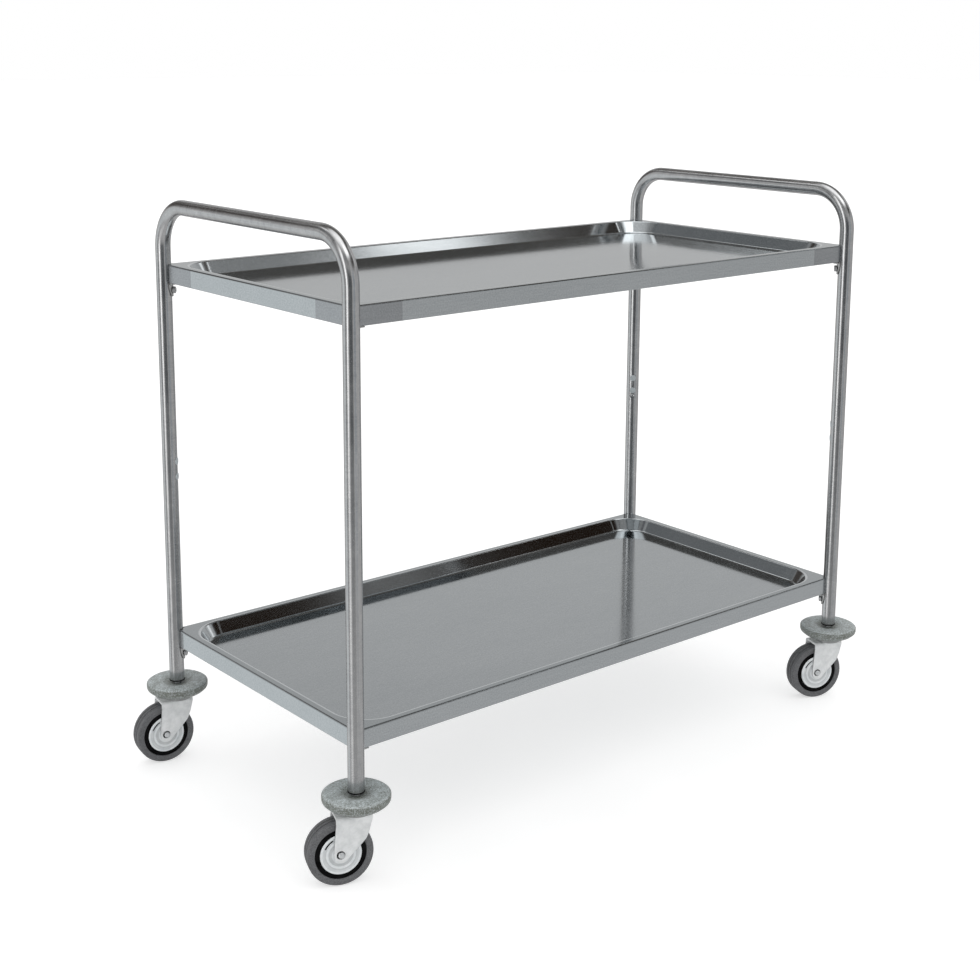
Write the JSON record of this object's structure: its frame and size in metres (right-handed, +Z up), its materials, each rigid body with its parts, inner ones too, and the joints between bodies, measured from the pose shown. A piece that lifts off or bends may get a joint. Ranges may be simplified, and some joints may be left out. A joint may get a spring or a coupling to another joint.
{
  "type": "service trolley",
  "caption": "Tiered stainless-steel service trolley: inverted-U tube hoops carry pressed trays, with rubber bumper rings and free-swivelling rubber-tyred casters under the legs.",
  "frame": {"origin": "on the floor, under the middle of the whole box, the trailing wheels included", "axes": "+Z up; +X along the shelves, from the hoop the wheels trail towards to the other; +Y across, towards the back"},
  "size_m": [1.2091, 0.633, 0.9625],
  "materials": {
    "tube_steel": "satin-ground stainless tube, fine grain round the tube",
    "tray_steel": "satin stainless sheet, fine even grain",
    "bracket_steel": "pressed stainless, satin",
    "bolt_steel": "stainless hexagon head, lightly worn",
    "stem_zinc": "bright zinc plate",
    "fork_zinc": "bright zinc plate, slightly mottled",
    "guard_zinc": "bright zinc plate, turned rings",
    "axle_zinc": "bright zinc plate",
    "bumper_rubber": "grey-green rubber, matt with a soft sheen",
    "tyre_rubber": "grey rubber, fine moulded rings on the tread",
    "black_nylon": "black moulded nylon"
  },
  "bodies": {
    "frame": {"left_hoop": "tube_steel", "right_hoop": "tube_steel", "lower_shelf": "tray_steel", "upper_shelf": "tray_steel", "lower_bracket_front_left": "bracket_steel", "lower_bolt_front_left": "bolt_steel", "lower_bracket_back_left": "bracket_steel", "lower_bolt_back_left": "bolt_steel", "lower_bracket_front_right": "bracket_steel", "lower_bolt_front_right": "bolt_steel", "lower_bracket_back_right": "bracket_steel", "lower_bolt_back_right": "bolt_steel", "upper_bracket_front_left": "bracket_steel", "upper_bolt_front_left": "bolt_steel", "upper_bracket_back_left": "bracket_steel", "upper_bolt_back_left": "bolt_steel", "upper_bracket_front_right": "bracket_steel", "upper_bolt_front_right": "bolt_steel", "upper_bracket_back_right": "bracket_steel", "upper_bolt_back_right": "bolt_steel", "front_left_bumper": "bumper_rubber", "front_left_stem": "stem_zinc", "front_left_expander_plug": "black_nylon", "back_left_bumper": "bumper_rubber", "back_left_stem": "stem_zinc", "back_left_expander_plug": "black_nylon", "front_right_bumper": "bumper_rubber", "front_right_stem": "stem_zinc", "front_right_expander_plug": "black_nylon", "back_right_bumper": "bumper_rubber", "back_right_stem": "stem_zinc", "back_right_expander_plug": "black_nylon"},
    "front_left_caster": {"front_left_fork": "fork_zinc", "front_left_thread_guard_a": "guard_zinc", "front_left_thread_guard_b": "guard_zinc", "front_left_axle": "axle_zinc", "front_left_axle_nut": "axle_zinc"},
    "front_left_wheel": {"front_left_tyre": "tyre_rubber", "front_left_wheel_core": "black_nylon"},
    "back_left_caster": {"back_left_fork": "fork_zinc", "back_left_thread_guard_a": "guard_zinc", "back_left_thread_guard_b": "guard_zinc", "back_left_axle": "axle_zinc", "back_left_axle_nut": "axle_zinc"},
    "back_left_wheel": {"back_left_tyre": "tyre_rubber", "back_left_wheel_core": "black_nylon"},
    "front_right_caster": {"front_right_fork": "fork_zinc", "front_right_thread_guard_a": "guard_zinc", "front_right_thread_guard_b": "guard_zinc", "front_right_axle": "axle_zinc", "front_right_axle_nut": "axle_zinc"},
    "front_right_wheel": {"front_right_tyre": "tyre_rubber", "front_right_wheel_core": "black_nylon"},
    "back_right_caster": {"back_right_fork": "fork_zinc", "back_right_thread_guard_a": "guard_zinc", "back_right_thread_guard_b": "guard_zinc", "back_right_axle": "axle_zinc", "back_right_axle_nut": "axle_zinc"},
    "back_right_wheel": {"back_right_tyre": "tyre_rubber", "back_right_wheel_core": "black_nylon"}
  },
  "joints": [
    {"name": "front_left_swivel", "type": "hinge", "parent": "frame", "child": "front_left_caster", "pos_m": [-0.52705, -0.265, 0.11], "axis": [0, 0, 1], "continuous": true},
    {"name": "front_left_roll", "type": "hinge", "parent": "front_left_caster", "child": "front_left_wheel", "pos_m": [-0.55244, -0.25525, 0.05], "axis": [-0.3584, -0.9336, 0], "continuous": true},
    {"name": "back_left_swivel", "type": "hinge", "parent": "frame", "child": "back_left_caster", "pos_m": [-0.52705, 0.265, 0.11], "axis": [0, 0, 1], "continuous": true},
    {"name": "back_left_roll", "type": "hinge", "parent": "back_left_caster", "child": "back_left_wheel", "pos_m": [-0.55395, 0.26902, 0.05], "axis": [-0.1478, -0.989, 0], "continuous": true},
    {"name": "front_right_swivel", "type": "hinge", "parent": "frame", "child": "front_right_caster", "pos_m": [0.55295, -0.265, 0.11], "axis": [0, 0, 1], "continuous": true},
    {"name": "front_right_roll", "type": "hinge", "parent": "front_right_caster", "child": "front_right_wheel", "pos_m": [0.52782, -0.25459, 0.05], "axis": [-0.3827, -0.9239, 0], "continuous": true},
    {"name": "back_right_swivel", "type": "hinge", "parent": "frame", "child": "back_right_caster", "pos_m": [0.55295, 0.265, 0.11], "axis": [0, 0, 1], "continuous": true},
    {"name": "back_right_roll", "type": "hinge", "parent": "back_right_caster", "child": "back_right_wheel", "pos_m": [0.52656, 0.27158, 0.05], "axis": [-0.2419, -0.9703, 0], "continuous": true}
  ]
}
